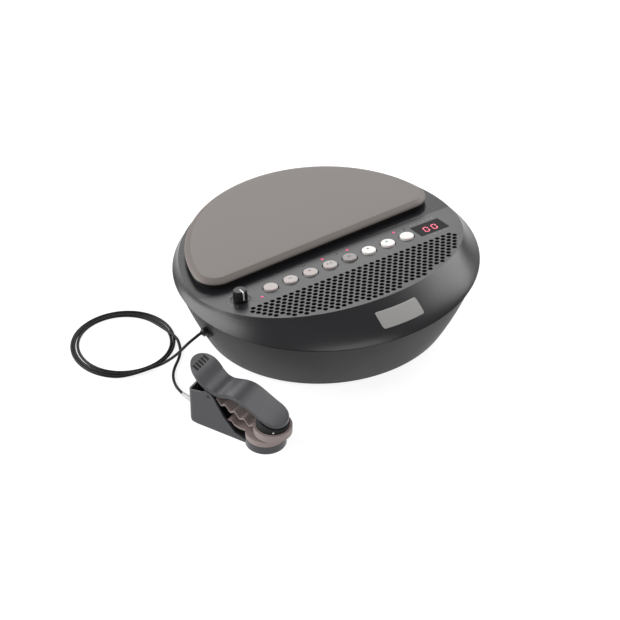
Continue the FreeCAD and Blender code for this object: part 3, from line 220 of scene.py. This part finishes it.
# sensor lead: from the plug, round the coil, to the clip
sensorLead = {
    "thick": 2.6,
    "length": 0.935,  # metres, from the plug to the clip
    "near": [(-137.96, -14, 40.5), (-149, -14.4, 36.4), (-154.6, -10.2, 27.5),
             (-158.8, -4.8, 18.5), (-163.3, 1.8, 10), (-170.4, 6.2, 4.8)],
    "far": [(-137, 34, 4.2), (-138.8, 25.3, 2.6), (-142.5, 16.6, 1.5), (-149.6, 7.9, 1.4),
            (-157.8, 0.2, 1.5), (-164.6, -8.6, 1.6), (-169.5, -20.2, 3), (-173.5, -34.6, 7.6),
            (-175.1, -46, 11.5)],
    "coilMiddle": (-179.6, 54.1),
    "coilStart": -95,
    "turnSweep": 1000,
    "outerRadius": 47.0,
    "turnStep": 2.75,
    "pointsPerTurn": 16,
    "sway": 0.5, "swayDrift": 200,  # turns drift in and out a little
    "bed": 1.4, "ripple": 0.25,
    "bevelSteps": 5, "curveSteps": 6,
}


def coilPoints(lead):
    points = []
    steps = int(lead["turnSweep"] / 360 * lead["pointsPerTurn"])
    shrink = math.cos(math.pi / lead["pointsPerTurn"])
    for k in range(1, steps):
        swept = lead["turnSweep"] * k / steps
        angle = math.radians(lead["coilStart"] - swept)
        radius = lead["outerRadius"] - lead["turnStep"] * swept / 360
        radius += lead["sway"] * math.sin(2 * angle + swept / lead["swayDrift"])
        height = lead["bed"] + lead["ripple"] * (1 + math.sin(3 * angle))
        x = lead["coilMiddle"][0] + radius * math.cos(angle) / shrink
        y = lead["coilMiddle"][1] + radius * math.sin(angle) / shrink
        points.append((x, y, height))
    return points


def makeLead(lead):
    points = lead["near"] + coilPoints(lead) + lead["far"]
    curve = bpy.data.curves.new("sensorLead", "CURVE")
    curve.dimensions = "3D"
    curve.bevel_depth = lead["thick"] / 2 * mm
    curve.bevel_resolution = lead["bevelSteps"]
    curve.use_fill_caps = True
    spline = curve.splines.new("NURBS")
    spline.points.add(len(points) - 1)
    for holder, point in zip(spline.points, points):
        holder.co = (*[c * mm for c in point], 1)
    spline.order_u = 3
    spline.use_endpoint_u = True
    spline.resolution_u = lead["curveSteps"]
    piece = bpy.data.objects.new("sensorLead", curve)
    bpy.context.scene.collection.objects.link(piece)
    piece.data.materials.append(made["leadSheath"])
    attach(piece, "housing")
    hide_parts("sensor_lead_near", "sensor_lead_coil", "sensor_lead_far")
    return piece, points


lead, leadPoints = makeLead(sensorLead)
print("lead laid with", len(leadPoints), "points")

# drum pad: a moulded rubber cap with a rounded rim and a slightly crowned top
drumPad = {
    "halfWidth": 124.5, "halfDepth": 121, "middle": 5.5, "chord": 3.2, "corner": 20, "twist": 2.2,
    "profile": [(4.5, 72.6), (4.5, 68.3), (0.9, 68.3), (0.6, 68.6), (0.5, 69.2), (0.5, 71.6), (0.1, 71.9),
                (0, 72.4), (0.3, 73.2), (1.0, 73.8), (2.2, 74.5), (4.4, 75.55), (5.1, 75.8), (5.3, 75.95),
                (5.9, 76.0)],
    # rings up the pad's side wall are painted black as the shadow under the rim
    "paintedShadowRings": 5, "shadeRimRings": 13,
    "crown": 0.35, "heart": (0, 52), "arcSteps": 96, "cornerSteps": 10, "topRings": 12,
}


def padCore(pad):
    # the outline less its corner radius: points with the way out at each
    a = pad["halfWidth"] - pad["corner"]
    b = pad["halfDepth"] - pad["corner"]
    low = pad["chord"] + pad["corner"] - pad["middle"]
    start = math.asin(low / b)
    core = []
    for k in range(pad["arcSteps"] + 1):
        angle = start + (math.pi - 2 * start) * k / pad["arcSteps"]
        point = Vector((a * math.cos(angle), b * math.sin(angle)))
        way = Vector((math.cos(angle) / a, math.sin(angle) / b)).normalized()
        core.append((point, way))
    left = core[-1]
    right = core[0]
    for k in range(1, pad["cornerSteps"] + 1):
        share = k / pad["cornerSteps"]
        core.append((left[0], left[1].lerp(Vector((0, -1)), share).normalized()))
    for k in range(pad["cornerSteps"]):
        share = k / pad["cornerSteps"]
        core.append((right[0], Vector((0, -1)).lerp(right[1], share).normalized()))
    return core


def makePad(pad):
    core = padCore(pad)
    turn = Matrix.Rotation(math.radians(pad["twist"]), 2)
    count = len(core)
    verts = []
    for inset, level in pad["profile"]:
        for point, way in core:
            place = turn @ (point + way * (pad["corner"] - inset))
            verts.append((place.x * mm, (place.y + pad["middle"]) * mm, level * mm))
    rim = [turn @ (point + way * (pad["corner"] - pad["profile"][-1][0])) for point, way in core]
    heart = Vector(pad["heart"])
    for k in range(1, pad["topRings"]):
        share = 1 - k / pad["topRings"]
        level = pad["profile"][-1][1] + pad["crown"] * (1 - share ** 2)
        for place in rim:
            spot = heart + (place - heart) * share
            verts.append((spot.x * mm, (spot.y + pad["middle"]) * mm, level * mm))
    rings = len(pad["profile"]) + pad["topRings"] - 1
    faces = []
    for ring in range(rings - 1):
        for k in range(count):
            after = (k + 1) % count
            low = ring * count
            high = low + count
            faces.append((low + k, low + after, high + after, high + k))
    peak = pad["profile"][-1][1] + pad["crown"]
    verts.append((heart.x * mm, (heart.y + pad["middle"]) * mm, peak * mm))
    top = len(verts) - 1
    last = (rings - 1) * count
    faces += [(last + k, last + (k + 1) % count, top) for k in range(count)]
    verts.append((heart.x * mm, (heart.y + pad["middle"]) * mm, pad["profile"][0][1] * mm))
    faces += [((k + 1) % count, k, top + 1) for k in range(count)]
    piece = addMesh("drumPadCap", verts, faces)
    # the bevel band's rings take a darker copy of the pad rubber as painted shade
    for name in ("padRubber", "padRimShade", "blackRubberAndShadow"):
        piece.data.materials.append(made[name])
    # the side wall's rings take black as painted shadow under the pad's rim
    for face in piece.data.polygons:
        ring = min(face.vertices) // count
        if ring < pad["paintedShadowRings"]:
            face.material_index = 2
        elif ring < pad["shadeRimRings"]:
            face.material_index = 1
    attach(piece, "housing")
    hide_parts("percussion_pad")


makePad(drumPad)
print("drum pad made")

# printed marks on the sloping panel and the caps
panel = {"hinge": -2, "deck": 67, "slope": 0.117,
         "buttons": 8, "buttonFirst": -72.9, "buttonPitch": 20.4, "buttonRow": -22.2,
         "capTop": 1.7, "print": 0.06, "printLevel": 0.01, "displayPlace": 95.6, "displayRow": -22.2}
panelTurn = Matrix.Translation((0, panel["hinge"] * mm, panel["deck"] * mm)) @ Matrix.Rotation(
    -math.atan(panel["slope"]), 4, "X")


def printMarks(name, outlines, level, material, body):
    verts = []
    faces = []
    for outline in outlines:
        first = len(verts)
        count = len(outline)
        for height in (level, level + panel["print"]):
            verts += [panelTurn @ Vector((x * mm, y * mm, height * mm)) for x, y in outline]
        faces.append(tuple(first + k for k in range(count)))
        faces.append(tuple(first + count + k for k in reversed(range(count))))
        for k in range(count):
            after = (k + 1) % count
            faces.append((first + k, first + after, first + count + after, first + count + k))
    piece = addMesh(name, verts, faces, smooth=False)
    piece.data.materials.append(made[material])
    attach(piece, body)
    return piece


def bar(x, y, wide, tall):
    left, right = x - wide / 2, x + wide / 2
    low, high = y - tall / 2, y + tall / 2
    return [(left, low), (right, low), (right, high), (left, high)]


def arrow(x, y, reach, way):
    back = x - way * reach * 0.8
    return [(x + way * reach, y), (back, y + reach * 0.9), (back, y - reach * 0.9)]


def disc(x, y, radius, steps=20):
    angles = [math.tau * k / steps for k in range(steps)]
    return [(x + radius * math.cos(angle), y + radius * math.sin(angle)) for angle in angles]


row = panel["buttonRow"]
places = [panel["buttonFirst"] + k * panel["buttonPitch"] for k in range(panel["buttons"])]
capMarks = {
    2: [bar(places[1] - 0.9, row + 1.2, 0.5, 2.2), bar(places[1] + 0.9, row + 1.2, 0.5, 2.2)],
    3: [disc(places[2], row + 1.4, 1.0)],
    4: [bar(places[3] - 1.9, row + 1.2, 1.5, 1.5), arrow(places[3] + 1.7, row + 1.2, 1.2, 1)],
    5: [bar(places[4] - 0.8, row + 1.2, 0.7, 2.4), bar(places[4] + 0.8, row + 1.2, 0.7, 2.4)],
    6: [arrow(places[5] - 0.2, row + 1.8, 1.3, -1)],
    7: [arrow(places[6] + 0.2, row + 1.8, 1.3, 1)],
}


zeroDigits = {"spread": 4.3, "tall": 8.8, "wide": 5.4, "line": 1.2, "lean": 0.12, "gap": 0.2, "level": 0.1}


def zeroDigit(digit, middle):
    # six slanted segments of a seven-segment zero
    tall, wide, lean, gap = digit["tall"], digit["wide"], digit["lean"], digit["gap"]
    half = digit["line"] / 2
    low = panel["displayRow"] - tall / 2
    segments = []
    for y in (low + half, low + tall - half):
        left = middle - wide / 2 + half + gap
        right = middle + wide / 2 - half - gap
        segments.append([(left, y), (left + half, y - half), (right - half, y - half), (right, y),
                         (right - half, y + half), (left + half, y + half)])
    for x in (middle - wide / 2 + half, middle + wide / 2 - half):
        for start in (low + half + gap, low + tall / 2 + gap):
            end = start + tall / 2 - half - 2 * gap
            segments.append([(x, start), (x + half, start + half), (x + half, end - half), (x, end),
                             (x - half, end - half), (x - half, start + half)])
    return [[(x + lean * (y - panel["displayRow"]), y) for x, y in outline] for outline in segments]


for number, outlines in capMarks.items():
    printMarks(f"capMark_{number}", outlines, panel["capTop"], "darkPrint", f"button_{number}")

dialTicks = {"spot": (-103.7, -22.9), "count": 11, "first": 225, "step": 27, "inner": 10.4, "outer": 12.2,
             "halfLine": 0.22}
ticks = []
for k in range(dialTicks["count"]):
    angle = math.radians(dialTicks["first"] - dialTicks["step"] * k)
    ways = Vector((math.cos(angle), math.sin(angle)))
    side = Vector((-ways.y, ways.x)) * dialTicks["halfLine"]
    inner = Vector(dialTicks["spot"]) + ways * dialTicks["inner"]
    outer = Vector(dialTicks["spot"]) + ways * dialTicks["outer"]
    ticks.append([tuple(inner - side), tuple(outer - side), tuple(outer + side), tuple(inner + side)])

# plain dashes in rows: where they stand, their row and how wide each is
dashTall = 0.5
dashRows = [
    (places[1:4], -14.2, 4.2),
    ((-31, 4.5, 70.5), -11.6, 5),
    ((places[2], places[3] + 6, places[6]), -31.2, 5.5),
    ([84 + 4.6 * k for k in range(6)], -8.2, 2.6),
    ([84 + 4.6 * k for k in range(6)], -6.8, 1.8),
    ([87.5 + 5.5 * k for k in range(4)], -33.2, 3.4),
]
dashes = [bar(x, y, wide, dashTall) for spots, y, wide in dashRows for x in spots]
printMarks("panelPrint", ticks + dashes, panel["printLevel"], "greyPrint", "housing")
digits = []
for side in (-1, 1):
    digits += zeroDigit(zeroDigits, panel["displayPlace"] + side * zeroDigits["spread"])
zeros = printMarks("displayZeros", digits, zeroDigits["level"], "digitGlow", "housing")
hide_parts("display_digits")
print("marks printed")

# sensor clip: grip bars on the lever's rear end and the small white dot on the sensor
clipTrim = {
    "place": (-171.6, -61.8), "turn": -63.2,
    "bars": 5, "barPitch": 3.9, "barWide": 2.3, "barStart": (4.6, 59.2), "barEnd": (9.6, 56.3),
    "barProud": 0.3, "barSunk": 0.9,
    "noseAlong": 77, "discRadius": 14.1,
    "dotLevel": 23.4, "dotRadius": 0.75, "dotProud": 0.25, "dotSunk": 0.3, "dotWay": -57, "dotSteps": 16,
}


def clipPoint(trim, along, across, up):
    turned = Matrix.Rotation(math.radians(trim["turn"]), 2) @ Vector((along, across))
    return ((trim["place"][0] + turned.x) * mm, (trim["place"][1] + turned.y) * mm, up * mm)


def makeGripBars(trim):
    verts = []
    faces = []
    for k in range(trim["bars"]):
        middle = (k - (trim["bars"] - 1) / 2) * trim["barPitch"]
        first = len(verts)
        for lift in (-trim["barSunk"], trim["barProud"]):
            for along, up in (trim["barStart"], trim["barEnd"]):
                for side in (-1, 1):
                    verts.append(clipPoint(trim, along, middle + side * trim["barWide"] / 2, up + lift))
        faces += [tuple(first + c for c in corners) for corners in (
            (0, 1, 3, 2), (4, 6, 7, 5), (0, 4, 5, 1), (2, 3, 7, 6), (0, 2, 6, 4), (1, 5, 7, 3))]
    piece = addMesh("leverGripBars", verts, faces, smooth=False)
    piece.data.materials.append(made["blackRubberAndShadow"])
    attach(piece, "clip_jaw")


def makeSensorDot(trim):
    out = math.radians(trim["dotWay"])
    steps = trim["dotSteps"]
    verts = []
    for reach in (trim["discRadius"] - trim["dotSunk"], trim["discRadius"] + trim["dotProud"]):
        for k in range(steps):
            angle = math.tau * k / steps
            sideways = trim["dotRadius"] * math.cos(angle)
            along = trim["noseAlong"] + reach * math.cos(out) - sideways * math.sin(out)
            across = reach * math.sin(out) + sideways * math.cos(out)
            up = trim["dotLevel"] + trim["dotRadius"] * math.sin(angle)
            verts.append(clipPoint(trim, along, across, up))
    faces = [tuple(range(steps)), tuple(reversed(range(steps, 2 * steps)))]
    faces += [(k, (k + 1) % steps, steps + (k + 1) % steps, steps + k) for k in range(steps)]
    piece = addMesh("sensorDot", verts, faces, smooth=False)
    piece.data.materials.append(made["whitePaint"])
    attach(piece, "clip_jaw")


makeGripBars(clipTrim)
makeSensorDot(clipTrim)
print("clip trimmed")

# studio: pale floor, soft light from both sides, the front and behind
studio = {
    "floor": 6, "floorColour": (0.3, 0.3, 0.3), "floorGlow": 0.84, "sky": 0.3,
    "lights": [
        {"name": "leftBox", "place": (-1.05, 0.72, 0.72), "aim": (0, 0, 0.07), "wide": 1.3, "deep": 1.0,
         "power": 22},
        {"name": "rightBox", "place": (1.22, 0.20, 0.86), "aim": (0, 0, 0.07), "wide": 0.9, "deep": 0.9,
         "power": 13},
        {"name": "frontBox", "place": (-0.15, -1.25, 1.35), "aim": (0, 0, 0.07), "wide": 1.2, "deep": 0.8,
         "power": 7},
        {"name": "backBox", "place": (0.60, 1.30, 0.80), "aim": (0, 0, 0.07), "wide": 0.9, "deep": 0.8,
         "power": 6},
    ],
}


def makeStudio(room):
    half = room["floor"] / 2
    floor = addMesh("studioFloor", [(-half, -half, 0), (half, -half, 0), (half, half, 0), (-half, half, 0)],
                    [(0, 1, 2, 3)], smooth=False)
    paper = newFinish("studioPaper", {
        "colour": room["floorColour"], "rough": 0.9, "swing": 0.01, "patch": 400, "bump": 0.02,
        "shader": {"Emission Color": (1, 1, 1, 1), "Emission Strength": room["floorGlow"],
                   "Specular IOR Level": 0.1}})
    floor.data.materials.append(paper)
    world = bpy.data.worlds.new("studioSky")
    world.use_nodes = True
    world.node_tree.nodes["Background"].inputs["Color"].default_value = (1, 1, 1, 1)
    world.node_tree.nodes["Background"].inputs["Strength"].default_value = room["sky"]
    bpy.context.scene.world = world
    for spec in room["lights"]:
        lamp = bpy.data.lights.new(spec["name"], "AREA")
        lamp.shape = "RECTANGLE"
        lamp.size = spec["wide"]
        lamp.size_y = spec["deep"]
        lamp.energy = spec["power"]
        holder = bpy.data.objects.new(spec["name"], lamp)
        holder.location = spec["place"]
        way = Vector(spec["aim"]) - Vector(spec["place"])
        holder.rotation_euler = way.to_track_quat("-Z", "Y").to_euler()
        bpy.context.scene.collection.objects.link(holder)
    bpy.context.scene.view_settings.view_transform = "Standard"


makeStudio(studio)
print("studio lit")
